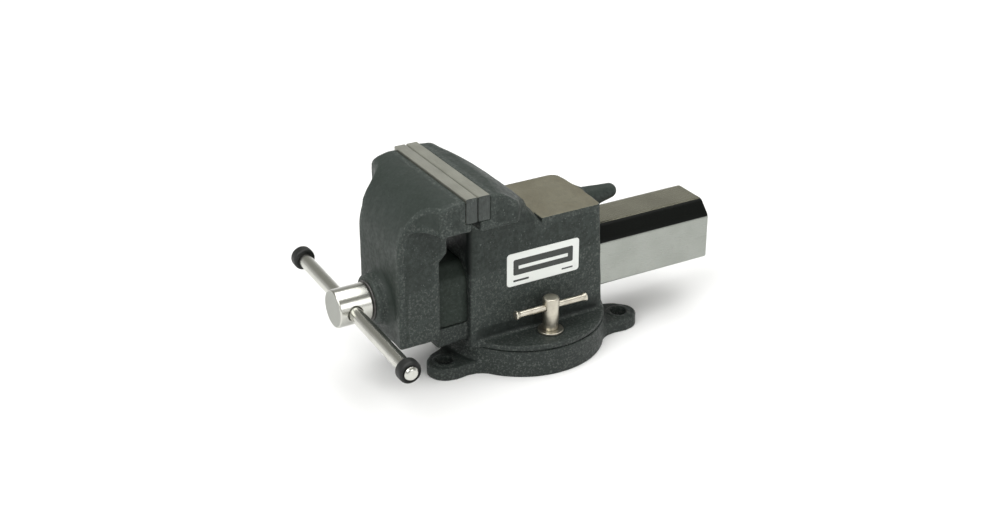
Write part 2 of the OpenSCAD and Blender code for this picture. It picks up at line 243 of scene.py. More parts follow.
def rear_field(x, y, z):
    """The rear jaw, with its wings, anvil, horn, swivel flange and the tongue under the bar."""
    side = np.abs(x)
    top = rear_top_field(x, y, z)
    top_edge = 0.8 + (2.2 + 3.5 * smooth(y, -30, -10) * smooth(x, 0, 20)) * (1 - smooth(y, -14, anvil_front))
    front = np.interp(z, [wing_z - 4, wing_z + 2], [rear_front, rear_lip_y]) - y
    front_edge = 2.0 + 6.0 * smooth(z, 45, 120) * (1 - smooth(z, 130, 138))
    back = y - anvil_back - back_bow * (1 - (x / body_half) ** 2) - back_draft * (anvil_top - z)
    back_edge = near_corner_r + (far_corner_r - near_corner_r) * smooth(-x, -10, 10)
    flank = both(side - body_half, back, back_edge)
    wing = both(both(side - jaw_half, wing_z - z, 5.0), y - rear_scoop_y)
    scoop = np.hypot(side - jaw_half, y - rear_scoop_y) - scoop_r
    jaw = either(flank, minus(wing, scoop, 5.0), 6.0)
    jaw = both(both(jaw, front, front_edge), top, top_edge)
    block = both(both(flank, z - anvil_top, 0.6), anvil_front - y, 0.6)
    shape = either(jaw, block)
    horn = capsule(x, y, z, horn_root, horn_tip, horn_root_r, horn_tip_r)
    shape = either(shape, both(horn, 45 - y), 4.5)
    over_pad = both(anvil_top - z, between(y, 8, anvil_back + back_bow + 8))
    shape = minus(shape, over_pad)
    radius = np.hypot(x, y)
    shape = both(shape, base_top - z)
    flange = both(both(radius - flange_r, z - flange_top, 1.8), base_top + 0.3 - z, 0.8)
    shape = either(shape, flange, 3.5)
    tongue_low = tongue_z + tongue_rise * (y - tongue_front)
    tongue = both(side - bar_half, between(z, tongue_low, bar_low[2] + 2), 2.5)
    tongue = both(tongue, between(y, tongue_front, rear_front + 8), 2.5)
    shape = either(shape, tongue, 3.0)
    seat = both(y - rear_plate_high[1], plate_z0 - z)
    shape = minus(shape, seat, plate_seat_edge)
    spigot = both(radius - lip_r + 0.4, between(z, base_top - 5, base_top + 2), 0.6)
    shape = either(shape, spigot)
    shape = minus(shape, bar_field(x, y, z) - bar_gap, 1.2)
    lock = np.hypot(side - lock_x, y)
    shape = minus(shape, both(lock - bolt_seat_r, flange_top - z), 0.8)
    shape = minus(shape, lock - bolt_way_r)
    bolt = np.hypot(x, np.abs(y) - nut_bolt_y)
    shape = minus(shape, both(bolt - nut_bolt_r, z - nut_bolt_z))
    return minus(shape, both(bolt - counterbore_r, z - counterbore_z), 0.6)


def ring_field(x, y, z):
    """The base ring, with a bored lug at each of its angles."""
    radius = np.hypot(x, y)
    shape = both(both(radius - ring_r, z - base_top + 0.3, 1.0), -z, 0.8)
    for angle in np.radians(lug_angles):
        u = x * math.cos(angle) + y * math.sin(angle)
        v = np.abs(y * math.cos(angle) - x * math.sin(angle))
        web = both(v - lug_root + (u - cavity_r) * (lug_root - lug_r + 1) / (lug_reach - cavity_r),
                   between(u, cavity_r - 4, lug_reach))
        plan = either(np.hypot(u - lug_reach, v) - lug_r, web, 6.0)
        lug = both(both(plan, z - lug_top, 2.0), -z, 0.8)
        shape = either(shape, lug, 5.0)
        boss = both(np.hypot(u - lug_reach, v) - bolt_hole_r - 3.2, between(z, 2, lug_top + 0.5), 0.5)
        shape = either(shape, boss, 1.0)
        shape = minus(shape, np.hypot(u - lug_reach, v) - bolt_hole_r, 0.8)
    shape = minus(shape, both(radius - cavity_r, z - lip_z), 0.8)
    return minus(shape, radius - lip_r, 0.8)


def slide_field(x, y, z):
    """The slide bar: an upturned U."""
    shape = both(bar_field(x, y, z), between(y, bar_low[1], bar_high[1]), 1.2)
    inside = both(np.abs(x) - channel_half, z - channel_top, 3.0)
    return minus(shape, inside, 1.0)


def plate_field(x, y, z, face, back):
    """A jaw plate: ground all over, with a criss-cross of grooves in its gripping face."""
    out = 1 if face > back else -1
    before, behind = (y - face) * out, (back - y) * out
    shape = both(between(z, plate_z0, jaw_top), np.abs(x) - jaw_half, 0.5)
    shape = both(both(shape, behind, 0.5), before, 1.5)
    ridge = [np.abs(((x + s * z) / groove_pitch) % 1 - 0.5) * 2 for s in (1, -1)]
    groove = groove_depth * np.clip(1 - 2.6 * np.minimum(ridge[0], ridge[1]), 0, 1)
    margin = smooth(jaw_top - z, 1.2, 2.2) * smooth(jaw_half - np.abs(x), 1.2, 2.2)
    shape = np.maximum(shape, groove * margin + before)
    for screw_x in (-plate_screw_x, plate_screw_x):
        screw = np.hypot(x - screw_x, z - (plate_z0 + jaw_top) / 2)
        sunk = both(screw - screw_head_r, -screw_head_depth - before)
        shape = minus(minus(shape, sunk, 0.4), screw - screw_way_r)
    return shape


def head_field(x, y, z):
    """The spindle's head, bored across for the handle."""
    front = spindle_low[1]
    radius = np.hypot(x, z - axis_z)
    shape = both(radius - head_r, between(y, front, head_back), 1.6)
    neck = both(radius - rod_r, between(y, front + 6, head_back + 4), 0.5)
    along = handle_axis
    u, v, w = x - handle_mid[0], y - handle_mid[1], z - handle_mid[2]
    t = u * along[0] + w * along[2]
    away = np.hypot(v, np.hypot(u - t * along[0], w - t * along[2]))
    return minus(either(shape, neck), away - handle_r - 0.3, 1.1)


def lock_field(x, y, z):
    """A lock bolt, bored across for its small bar."""
    radius = np.hypot(x - lock_x, y)
    barrel = radius - lock_r + 0.7 * (1 - smooth(z, flange_top + 4, flange_top + 17))
    shape = both(barrel, between(z, flange_top + 2.1, lock_high[2]), 1.4)
    shape = either(shape, both(radius - 6.0, between(z, lock_low[2], flange_top + 6), 0.6))
    return minus(shape, np.hypot(x - lock_x, z - lock_bar_z) - lock_bar_r - 0.2, 0.6)


def cap_field(x, y, z, out):
    """A handle cap along X before it is tilted; out is 1 on the near side and -1 on the far side."""
    radius = np.hypot(y, z)
    s = x * out
    barrel = radius - cap_r + 0.010 * (s - cap_in - 4) ** 2
    shape = both(barrel, between(s, cap_in, cap_out), 2.0)
    recess = both(radius - handle_r - 1.6, cap_out - 1.3 - s)
    return minus(minus(shape, recess, 0.6), radius - handle_r + 0.05, 0.5)


# ---------- meshes ----------

def net(values, low, step):
    """The zero surface of a grid of distances.

    It has a point in each cell that the surface crosses, and a quad round each grid edge that it crosses."""
    inside = values < 0
    cells = tuple(n - 1 for n in values.shape)
    weight, total, quads = [], [], []
    for axis in range(3):
        near = tuple(slice(0, -1) if k == axis else slice(None) for k in range(3))
        far = tuple(slice(1, None) if k == axis else slice(None) for k in range(3))
        crossed = inside[near] != inside[far]
        where = np.argwhere(crossed)
        a, b = values[near][crossed], values[far][crossed]
        point = where.astype(float)
        point[:, axis] += a / (a - b)
        p, q = (axis + 1) % 3, (axis + 2) % 3
        around = []
        for dp, dq in ((0, 0), (1, 0), (1, 1), (0, 1)):
            cell = where.copy()
            cell[:, p] -= dp
            cell[:, q] -= dq
            around.append(np.ravel_multi_index(cell.T, cells))
            weight.append(around[-1])
            total.append(point)
        quad = np.stack(around, 1)
        quads.append(np.where(inside[near][crossed][:, None], quad, quad[:, ::-1]))
    owner, number = np.unique(np.concatenate(weight), return_inverse=True)
    points = np.concatenate(total)
    count = np.bincount(number)
    mean = np.stack([np.bincount(number, points[:, k]) / count for k in range(3)], 1)
    faces = np.searchsorted(owner, np.concatenate(quads))
    return np.array(low) + mean * step, faces


def slope_of(field, points, reach=0.04):
    """The field's gradient at each point."""
    found = np.empty_like(points)
    for k in range(3):
        shift = np.zeros(3)
        shift[k] = reach
        found[:, k] = (field(*(points + shift).T) - field(*(points - shift).T)) / (2 * reach)
    return found


def settle(field, points, step, rounds=3):
    """Moves points onto the field's zero surface."""
    for _ in range(rounds):
        gradient = slope_of(field, points)
        size = np.maximum((gradient ** 2).sum(1), 0.3)
        move = np.clip(field(*points.T) / size, -step, step)
        points = points - move[:, None] * gradient
    return points


def waves(points, size, seed):
    """A smooth random height, from -1 to 1 or so, with swells of about size mm, like cast skin."""
    draw = np.random.default_rng(seed)
    height = np.zeros(len(points))
    count = 14
    for _ in range(count):
        direction = draw.normal(size=3)
        direction *= draw.uniform(0.6, 1.6) * 2 * math.pi / size / np.linalg.norm(direction)
        height += np.sin(points @ direction + draw.uniform(0, 2 * math.pi))
    return height / math.sqrt(count / 2)


def new_mesh(points, faces):
    mesh = bpy.data.meshes.new("piece")
    faces = np.asarray(faces)
    mesh.vertices.add(len(points))
    mesh.vertices.foreach_set("co", (np.asarray(points) * MM).astype(np.float32).ravel())
    sides = faces.shape[1]
    mesh.loops.add(faces.size)
    mesh.loops.foreach_set("vertex_index", faces.astype(np.int32).ravel())
    mesh.polygons.add(len(faces))
    mesh.polygons.foreach_set("loop_start", np.arange(0, faces.size, sides, dtype=np.int32))
    mesh.update(calc_edges=True)
    mesh.validate()
    mesh.shade_smooth()
    return mesh


def thinned(mesh, share):
    """The mesh with about that share of its faces, keeping its shape."""
    helper = added("thin", mesh)
    modifier = helper.modifiers.new("thin", "DECIMATE")
    modifier.ratio = share
    graph = bpy.context.evaluated_depsgraph_get()
    result = bpy.data.meshes.new_from_object(helper.evaluated_get(graph))
    bpy.data.objects.remove(helper)
    return result


def points_of(mesh):
    found = np.empty(len(mesh.vertices) * 3, np.float32)
    mesh.vertices.foreach_get("co", found)
    return found.reshape(-1, 3).astype(float) / MM


def keep_value(mesh, name, values):
    layer = mesh.attributes.new(name, "FLOAT", "POINT")
    layer.data.foreach_set("value", values.astype(np.float32))


edge_reach = 6.0            # how far in and out of a surface its edges and corners are felt
hollow_reach = (2.2, 9.0)


def carved(field, low, high, step, thin=1.0, swell=None):
    """A mesh of a field, with true normals and per-point edge and corner shading values.

    swell is (mask, height, size): a cast surface's gentle waves, in mm, where mask of the points isn't 0."""
    lowest, highest = np.array(low, float), np.array(high, float)
    start, end = lowest - 2.3 * step, highest + 2.3 * step
    axes = [np.arange(start[k], end[k], step).astype(np.float32) for k in range(3)]
    grid = field(axes[0][:, None, None], axes[1][None, :, None], axes[2][None, None, :])
    grid = np.array(np.broadcast_to(grid, [len(a) for a in axes]))
    for k in range(3):
        edge = np.moveaxis(grid, k, 0)
        edge[0] = np.maximum(edge[0], step)
        edge[-1] = np.maximum(edge[-1], step)
    points, faces = net(grid, start, step)

    def waved(x, y, z):
        if swell is None:
            return field(x, y, z)
        mask, height, size = swell
        spots = np.stack([x, y, z], 1)
        return field(x, y, z) + height * mask(x, y, z) * waves(spots, size, seed=5)

    points = settle(field, points, step)
    points = settle(waved, points, step, rounds=1 if swell else 0)
    mesh = new_mesh(np.clip(points, lowest, highest), faces)
    if thin < 1:
        mesh = thinned(mesh, thin)
        mesh.shade_smooth()
    points = np.clip(points_of(mesh), lowest, highest)
    mesh.vertices.foreach_set("co", (points * MM).astype(np.float32).ravel())
    gradient = slope_of(waved, points)
    size = np.maximum(np.linalg.norm(gradient, axis=1), 1e-6)
    normals = gradient / size[:, None]
    wear = 1 + field(*(points - edge_reach * normals).T) / (edge_reach * size)
    # how hollow each point lies, which the finishes use for painted shade
    hollow = [1 - field(*(points + reach * normals).T) / (reach * size) for reach in hollow_reach]
    keep_value(mesh, "wear", np.clip(wear, 0, 1))
    keep_value(mesh, "hollow", np.clip(np.maximum(hollow[0], 0.8 * hollow[1]), 0, 1))
    mesh.normals_split_custom_set_from_vertices(normals.tolist())
    return mesh


def arcs(corners, steps=5):
    """A path through corners (u, v, radius), each rounded by an arc of its radius."""
    path = []
    last = len(corners) - 1
    for i, (u, v, r) in enumerate(corners):
        here = np.array([u, v], float)
        if i in (0, last) or r == 0:
            path.append(here)
            continue
        back = np.array(corners[i - 1][:2], float) - here
        ahead = np.array(corners[i + 1][:2], float) - here
        back /= np.linalg.norm(back)
        ahead /= np.linalg.norm(ahead)
        half = math.acos(np.clip(back @ ahead, -1, 1)) / 2
        reach = r / math.tan(half)
        middle = here + (back + ahead) / np.linalg.norm(back + ahead) * r / math.sin(half)
        first = here + back * reach - middle
        final = here + ahead * reach - middle
        sweep = math.pi - 2 * half
        for k in range(steps + 1):
            t = k / steps
            blend = (math.sin((1 - t) * sweep) * first + math.sin(t * sweep) * final) / math.sin(sweep)
            path.append(middle + blend)
    return np.array(path)


def band_faces(rings, sides):
    """The quads between rings of sides points each."""
    rows, cols = np.meshgrid(np.arange(rings - 1), np.arange(sides), indexing="ij")
    here = rows * sides + cols
    beside = rows * sides + (cols + 1) % sides
    return np.stack([here, beside, beside + sides, here + sides], -1).reshape(-1, 4)


def turned(corners, origin, direction, sides):
    """A mesh turned on a lathe: corners (along, radius, rounding) go round direction from origin."""
    path = arcs(corners)
    direction = np.array(direction, float) / np.linalg.norm(direction)
    other = np.cross(direction, [0.0, 0.0, 1.0] if abs(direction[2]) < 0.9 else [1.0, 0.0, 0.0])
    other /= np.linalg.norm(other)
    third = np.cross(direction, other)
    angle = np.arange(sides) * 2 * math.pi / sides
    spoke = np.cos(angle)[:, None] * other + np.sin(angle)[:, None] * third
    points = (np.array(origin, float) + path[:, 0, None, None] * direction
              + path[:, 1, None, None] * spoke[None]).reshape(-1, 3)
    faces = band_faces(len(path), sides)
    step = np.diff(path, axis=0)
    size = np.linalg.norm(step, axis=1)[:, None]
    flat = np.stack([-step[:, 1], step[:, 0]], 1) * size
    bend = np.zeros_like(path)
    bend[:-1] += flat
    bend[1:] += flat
    bend /= np.maximum(np.linalg.norm(bend, axis=1), 1e-9)[:, None]
    normals = (bend[:, 0, None, None] * direction + bend[:, 1, None, None] * spoke[None]).reshape(-1, 3)
    mesh = new_mesh(points, faces)
    mesh.normals_split_custom_set_from_vertices(normals.tolist())
    return mesh


def tube(centres, radius, sides=12):
    """A round wire along centres, drawn in at its ends."""
    centres = np.array(centres, float)
    along = np.gradient(centres, axis=0)
    along /= np.linalg.norm(along, axis=1)[:, None]
    guide = np.array([0.0, 1.0, 0.0])
    first = np.cross(along, guide)
    first /= np.linalg.norm(first, axis=1)[:, None]
    second = np.cross(along, first)
    angle = np.arange(sides) * 2 * math.pi / sides
    ring = np.cos(angle)[None, :, None] * first[:, None] + np.sin(angle)[None, :, None] * second[:, None]
    size = np.full(len(centres), radius)
    size[0] = size[-1] = radius * 0.05
    points = (centres[:, None] + ring * size[:, None, None]).reshape(-1, 3)
    return new_mesh(points, band_faces(len(centres), sides))


def added(name, data):
    """A new object in the scene."""
    made = bpy.data.objects.new(name, data)
    bpy.context.scene.collection.objects.link(made)
    return made


def piece(name, mesh, body, finish):
    """A mesh as a piece that rides on a CAD body."""
    made = added(name, mesh)
    mesh.name = name
    mesh.materials.clear()
    mesh.materials.append(finish)
    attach(made, body)
    return made


def stand_in(node, mesh, body, finish):
    """A piece named after the CAD node that it stands for."""
    made = piece(node + "_looks", mesh, body, finish)
    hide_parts(node)
    return made


# ---------- finishes ----------

class Finish:
    """A procedural material in the making: each call adds a node and returns its output."""

    def __init__(self, name):
        self.material = bpy.data.materials.new(name)
        self.material.use_nodes = True
        self.tree = self.material.node_tree
        self.tree.nodes.clear()
        self.shader = self.new("BsdfPrincipled")
        output = self.new("OutputMaterial")
        self.tree.links.new(self.shader.outputs[0], output.inputs[0])
        self.place = self.new("TexCoord").outputs["Object"]

    def new(self, kind):
        return self.tree.nodes.new("ShaderNode" + kind)

    def put(self, node, socket, value):
        target = node.inputs[socket]
        if isinstance(value, bpy.types.NodeSocket):
            self.tree.links.new(value, target)
        else:
            target.default_value = value

    def set(self, **values):
        """Sets the shader's sockets: base_color=..., roughness=..., and so on."""
        for key, value in values.items():
            socket = key.replace("_", " ").title().replace("Ior", "IOR")
            self.put(self.shader, socket, value)

    def noise(self, size, detail=2.0, rough=0.5, twist=0.0, stretch=(1, 1, 1)):
        """Noise with features of about size mm, stretched along an axis where stretch is small."""
        place = self.new("Mapping")
        place.inputs["Scale"].default_value = [s / (size * MM) for s in stretch]
        self.tree.links.new(self.place, place.inputs["Vector"])
        node = self.new("TexNoise")
        self.tree.links.new(place.outputs[0], node.inputs["Vector"])
        settings = (("Scale", 1.0), ("Detail", detail), ("Roughness", rough), ("Distortion", twist))
        for socket, value in settings:
            node.inputs[socket].default_value = value
        return node.outputs["Fac"]

    def steps(self, value, low, high, to_low=0.0, to_high=1.0):
        """Maps low..high to to_low..to_high smoothly, and holds the ends."""
        node = self.new("MapRange")
        node.interpolation_type = "SMOOTHSTEP"
        self.put(node, "Value", value)
        ends = (("From Min", low), ("From Max", high), ("To Min", to_low), ("To Max", to_high))
        for socket, number in ends:
            node.inputs[socket].default_value = number
        return node.outputs[0]

    def math(self, operation, a, b=0.0):
        node = self.new("Math")
        node.operation = operation
        self.put(node, 0, a)
        self.put(node, 1, b)
        return node.outputs[0]

    def times(self, a, b):
        return self.math("MULTIPLY", a, b)

    def mix(self, factor, a, b):
        node = self.new("Mix")
        node.data_type = "RGBA"
        self.put(node, 0, factor)
        for socket, value in ((6, a), (7, b)):
            self.put(node, socket, (*value, 1) if isinstance(value, tuple) else value)
        return node.outputs[2]

    def value_of(self, name):
        """A value kept with each point of the mesh."""
        node = self.new("Attribute")
        node.attribute_name = name
        return node.outputs["Fac"]

    def where(self):
        """The point's own x, y and z in metres."""
        node = self.new("SeparateXYZ")
        self.tree.links.new(self.place, node.inputs[0])
        return node.outputs

    def facing(self):
        """The surface's own normal, as x, y and z."""
        node = self.new("SeparateXYZ")
        normal = self.new("TexCoord").outputs["Normal"]
        self.tree.links.new(normal, node.inputs[0])
        return node.outputs

    def bump(self, height, depth, under=None):
        """A bump of depth mm where height is 1."""
        node = self.new("Bump")
        node.inputs["Distance"].default_value = depth * MM
        node.inputs["Strength"].default_value = 1.0
        self.put(node, "Height", height)
        if under is not None:
            self.tree.links.new(under, node.inputs["Normal"])
        return node.outputs[0]


PAINT = (0.019, 0.026, 0.0215)
PAINT_DEEP = (0.008, 0.011, 0.0095)
PAINT_PALE = (0.036, 0.045, 0.041)
# painted glints: pale flecks that stand in for specular highlights on the paint's bumps
GLINT_FLECK = (0.17, 0.19, 0.18)
CHIP = (0.11, 0.12, 0.11)
# near-black for painted shade in hollows and in the gap between the jaws, and for the darkening towards the
# bottom
SHADE_AND_LOW_DARK = (0.005, 0.007, 0.0065)


def flank_share(look):
    """1 on a casting's flanks, where the skin is rough, and less on its smoother front and top."""
    face = look.facing()
    smooth_face = look.math("MAXIMUM", look.times(face[1], -1.0), face[2])
    return look.steps(smooth_face, 0.25, 0.85, 1.0, 0.28)


def paint_colour(look):
    """Hammertone paint on rough castings: mottled, with painted glint flecks, painted shade in hollows and
    in the gap between the jaws, and darker towards the bottom.
    """
    rough = flank_share(look)
    mottle = look.steps(look.noise(3.2, detail=4.0, rough=0.6), 0.36, 0.68)
    colour = look.mix(mottle, PAINT_DEEP, PAINT_PALE)
    colour = look.mix(look.times(rough, 0.55), PAINT, colour)
    drift = look.steps(look.noise(30.0, detail=2.0), 0.35, 0.65)
    colour = look.mix(look.times(drift, 0.16), colour, PAINT_PALE)
    # painted glints: sparse pale flecks, mostly on the flanks, standing in for specular highlights
    glint_flecks = look.steps(look.noise(1.5, detail=2.0, rough=0.6), 0.62, 0.72)
    sparse = look.steps(look.noise(6.0, detail=2.0), 0.46, 0.60)
    glint_flecks = look.times(glint_flecks, look.times(sparse, look.times(rough, 0.48)))
    colour = look.mix(glint_flecks, colour, GLINT_FLECK)
    y, z = look.where()[1:]
    # darker towards the bottom: nothing at 56 mm, the full amount at 30 mm and below
    low_dark_and_gap_shade = look.steps(z, 30 * MM, 56 * MM, 0.62, 0.0)
    # painted shade: faces turned towards the other jaw, in the gap between the jaws, go nearly black
    inner = look.times(look.steps(y, (front_back - 3) * MM, (front_back - 1) * MM),
                      look.steps(y, (rear_front + 1) * MM, (rear_front + 9) * MM, 1.0, 0.0))
    inner = look.times(inner, look.steps(look.math("ABSOLUTE", look.facing()[1]), 0.55, 0.9))
    low_dark_and_gap_shade = look.math("MAXIMUM", low_dark_and_gap_shade, look.times(inner, 0.97))
    # painted shade in hollows, from each point's hollow value
    hollow_shade = look.times(look.steps(look.value_of("hollow"), 0.10, 0.65), 0.85)
    return look.mix(look.math("MAXIMUM", low_dark_and_gap_shade, hollow_shade), colour, SHADE_AND_LOW_DARK)


def paint_relief(look):
    """The cast skin under the paint, rougher on the flanks than on the front face."""
    rough = flank_share(look)
    pits = look.noise(2.4, detail=3.0, rough=0.6, twist=0.3)
    grain = look.noise(0.9, detail=2.0, rough=0.6)
    relief = look.bump(look.times(pits, rough), 0.40)
    return look.bump(look.times(grain, rough), 0.12, relief)


def worn_paint(look):
    """The paint with its edges rubbed paler, and chipped here and there."""
    colour = paint_colour(look)
    rub = look.steps(look.value_of("wear"), 0.08, 0.20)
    chips = look.steps(look.noise(1.8, detail=3.0, rough=0.65), 0.50, 0.64)
    colour = look.mix(look.times(rub, 0.30), colour, PAINT_PALE)
    return look.mix(look.times(look.times(rub, chips), 0.45), colour, CHIP)


def cast_paint():
    """The painted castings."""
    look = Finish("cast_paint")
    colour = worn_paint(look)
    rough = look.steps(look.noise(3.0, detail=3.0), 0.3, 0.7, 0.44, 0.60)
    look.set(base_color=colour, roughness=rough, normal=paint_relief(look), specular_ior_level=0.24)
    return look.material


def rear_paint():
    """As the other castings, with the anvil's flat ground bare."""
    look = Finish("rear_paint")
    colour = worn_paint(look)
    y, z = look.where()[1:]
    ragged = look.math("SUBTRACT", look.noise(2.2, detail=3.0, rough=0.7), 0.5)
    ragged = look.math("ADD", z, look.times(ragged, 0.9 * MM))
    on_top = look.steps(ragged, (anvil_top - 0.42) * MM, (anvil_top - 0.30) * MM)
    pad = look.times(on_top, look.steps(look.facing()[2], 0.80, 0.93))
    for part in (look.math("GREATER_THAN", y, (anvil_front - 0.5) * MM),
                 look.math("LESS_THAN", z, (anvil_top + 0.2) * MM),
                 look.math("LESS_THAN", y, (anvil_back + back_bow + 0.3) * MM)):
        pad = look.times(pad, part)
    grind = look.noise(0.5, detail=2.0, stretch=(0.05, 1, 1))
    cloud = look.steps(look.noise(26.0, detail=3.0), 0.3, 0.7)
    steel = look.mix(cloud, (0.185, 0.172, 0.122), (0.215, 0.204, 0.15))
    steel = look.mix(look.times(grind, 0.22), steel, (0.14, 0.13, 0.095))
    colour = look.mix(pad, colour, steel)
    rough = look.steps(look.noise(3.0, detail=3.0), 0.3, 0.7, 0.44, 0.60)
    rough = look.math("ADD", look.times(pad, -0.08), rough)
    normal = look.mix(pad, paint_relief(look), look.bump(grind, 0.008))
    metal = look.times(pad, 0.80)
    look.set(base_color=colour, roughness=rough, metallic=metal, normal=normal, specular_ior_level=0.24)
    return look.material


def thread_steel():
    """The screw's bright steel, with the lathe's fine lines and a few oily stains."""
    look = Finish("thread_steel")
    lines = look.noise(0.45, detail=3.0, rough=0.6, stretch=(1, 0.04, 1))
    cloud = look.steps(look.noise(14.0, detail=3.0), 0.3, 0.7)
    colour = look.mix(cloud, (0.378, 0.369, 0.342), (0.42, 0.41, 0.38))
    cut = look.times(look.steps(lines, 0.35, 0.75), 0.5)
    colour = look.mix(cut, colour, (0.3024, 0.2952, 0.2736))
    stain = look.steps(look.noise(4.0, detail=4.0, rough=0.7), 0.62, 0.74)
    colour = look.mix(look.times(stain, 0.25), colour, (0.20, 0.17, 0.13))
    rough = look.steps(lines, 0.2, 0.8, 0.24, 0.40)
    look.set(base_color=colour, metallic=0.85, roughness=rough, normal=look.bump(lines, 0.010))
    return look.material


def plate_steel():
    """Jaw plates: bare on top and on the gripping faces, and painted at the ends."""
    look = Finish("plate_steel")
    lines = look.noise(0.45, detail=3.0, rough=0.6, stretch=(0.04, 1, 1))
    cloud = look.noise(14.0, detail=3.0)
    steel = look.mix(look.steps(cloud, 0.3, 0.7), (0.27, 0.273, 0.235), (0.32, 0.323, 0.28))
    cut = look.times(look.steps(lines, 0.35, 0.75), 0.3)
    steel = look.mix(cut, steel, (0.21, 0.205, 0.175))
    paint = paint_colour(look)
    sideways = look.math("ABSOLUTE", look.facing()[0])
    ragged = look.math("ADD", sideways, look.times(look.noise(1.5, detail=3.0), 0.2))
    end = look.steps(ragged, 0.30, 0.45)
    colour = look.mix(end, steel, paint)
    ribs = look.noise(1.0, detail=1.0, stretch=(1, 1, 0.12))
    normal = look.mix(end, look.bump(lines, 0.010), look.bump(ribs, 0.35))
    metal = look.times(look.math("SUBTRACT", 1.0, end), 0.8)
    rough = look.steps(lines, 0.2, 0.8, 0.36, 0.50)
    look.set(base_color=colour, metallic=metal, roughness=rough, normal=normal)
    return look.material


def bar_steel():
    """The slide bar: machined on top and sides, with a painted darker reflection on its top, black on its
    sloping corners, painted next to the jaw.
    """
    look = Finish("bar_steel")
    y = look.where()[1]
    lines = look.noise(0.5, detail=3.0, rough=0.6, stretch=(1, 0.03, 1))
    cloud = look.steps(look.noise(25.0, detail=3.0), 0.3, 0.7)
    bright = look.mix(cloud, (0.29, 0.305, 0.28), (0.32, 0.335, 0.31))
    # painted reflection: the top faces get a darker, browner tone that stands in for the darker overhead
    # they reflect
    painted_top_reflection = look.mix(cloud, (0.27, 0.262, 0.20), (0.32, 0.312, 0.24))
    face = look.facing()
    steel = look.mix(look.steps(face[2], 0.85, 0.95), bright, painted_top_reflection)
    steel = look.mix(look.steps(face[1], 0.85, 0.95), steel, (0.15, 0.158, 0.142))
    cut = look.times(look.steps(lines, 0.4, 0.75), 0.16)
    steel = look.mix(cut, steel, (0.26, 0.26, 0.23))
    lean = look.times(look.math("ABSOLUTE", face[0]), face[2])
    corner = look.steps(lean, 0.24, 0.34)
    edge = look.math("ADD", y, look.times(look.noise(3.0, detail=3.0), 2.4 * MM))
    painted = look.steps(edge, -66.0 * MM, -64.6 * MM, 1.0, 0.0)
    dark = look.math("MAXIMUM", corner, painted)
    paint = look.mix(0.3, paint_colour(look), (0.040, 0.050, 0.041))
    coat = look.mix(painted, (0.003, 0.0036, 0.003), paint)
    colour = look.mix(dark, steel, coat)
    rough = look.math("ADD", look.steps(lines, 0.2, 0.8, 0.20, 0.30), look.times(dark, 0.18))
    metal = look.math("SUBTRACT", 1.0, look.times(dark, 0.97))
    skin = look.bump(look.times(look.noise(2.6, detail=3.0), dark), 0.2)
    look.set(base_color=colour, metallic=metal, roughness=rough, normal=look.bump(lines, 0.005, skin),
             specular_ior_level=0.08)
    return look.material


def chrome():
    """Bright plating with faint polishing marks and smears, and a darker, rougher front end face."""
    look = Finish("chrome")
    smear = look.noise(16.0, detail=3.0, twist=0.6)
    marks = look.noise(0.6, detail=2.0, stretch=(1, 0.08, 1))
    end = look.steps(look.times(look.facing()[1], -1.0), 0.90, 0.97)
    end = look.times(end, look.math("LESS_THAN", look.where()[1], (spindle_low[1] + 3) * MM))
    colour = look.mix(look.steps(smear, 0.35, 0.75), (0.55, 0.55, 0.51), (0.48, 0.48, 0.44))
    colour = look.mix(end, colour, (0.33, 0.335, 0.31))
    rough = look.steps(smear, 0.3, 0.75, 0.20, 0.27)
    rough = look.math("ADD", rough, look.times(end, 0.22))
    look.set(base_color=colour, metallic=1.0, roughness=rough, normal=look.bump(marks, 0.0025))
    return look.material


def nickel():
    """The lock bolts' warm, duller plating, with painted shade in its hollows."""
    look = Finish("nickel")
    smear = look.noise(6.0, detail=3.0)
    marks = look.noise(0.5, detail=3.0)
    colour = look.mix(look.steps(smear, 0.35, 0.7), (0.56, 0.53, 0.45), (0.46, 0.43, 0.36))
    # painted shade in hollows, from each point's hollow value
    hollow_shade = look.times(look.steps(look.value_of("hollow"), 0.3, 0.9), 0.35)
    colour = look.mix(hollow_shade, colour, (0.14, 0.13, 0.11))
    look.set(base_color=colour, metallic=1.0, roughness=look.steps(smear, 0.3, 0.7, 0.28, 0.38),
             normal=look.bump(marks, 0.003))
    return look.material


def dark_steel(name, base):
    """Oiled steel: screws, bolts, washers and the spring."""
    look = Finish(name)
    film = look.noise(5.0, detail=4.0, rough=0.6)
    grain = look.noise(0.8, detail=3.0)
    colour = look.mix(look.steps(film, 0.35, 0.7), base, tuple(0.6 * c for c in base))
    look.set(base_color=colour, metallic=0.9, roughness=look.steps(film, 0.3, 0.7, 0.34, 0.5),
             normal=look.bump(grain, 0.03))
    return look.material


def rubber():
    """The handle's black caps, a little dusty."""
    look = Finish("cap_rubber")
    grain = look.noise(0.7, detail=3.0, rough=0.6)
    dust = look.noise(5.0, detail=3.0)
    colour = look.mix(look.steps(dust, 0.4, 0.75), (0.006, 0.0068, 0.006), (0.014, 0.0155, 0.014))
    look.set(base_color=colour, roughness=look.steps(grain, 0.3, 0.7, 0.40, 0.55),
             normal=look.bump(grain, 0.03), specular_ior_level=0.35)
    return look.material


def plastic(name, base, rough=0.35):
    """The label's film, faintly scuffed."""
    look = Finish(name)
    grain = look.noise(1.4, detail=2.0)
    scuff = look.noise(9.0, detail=4.0, rough=0.65)
    colour = look.mix(look.steps(scuff, 0.5, 0.8), base, tuple(0.92 * c for c in base))
    look.set(base_color=colour, roughness=look.steps(grain, 0.3, 0.7, rough, rough + 0.08),
             normal=look.bump(grain, 0.006))
    return look.material


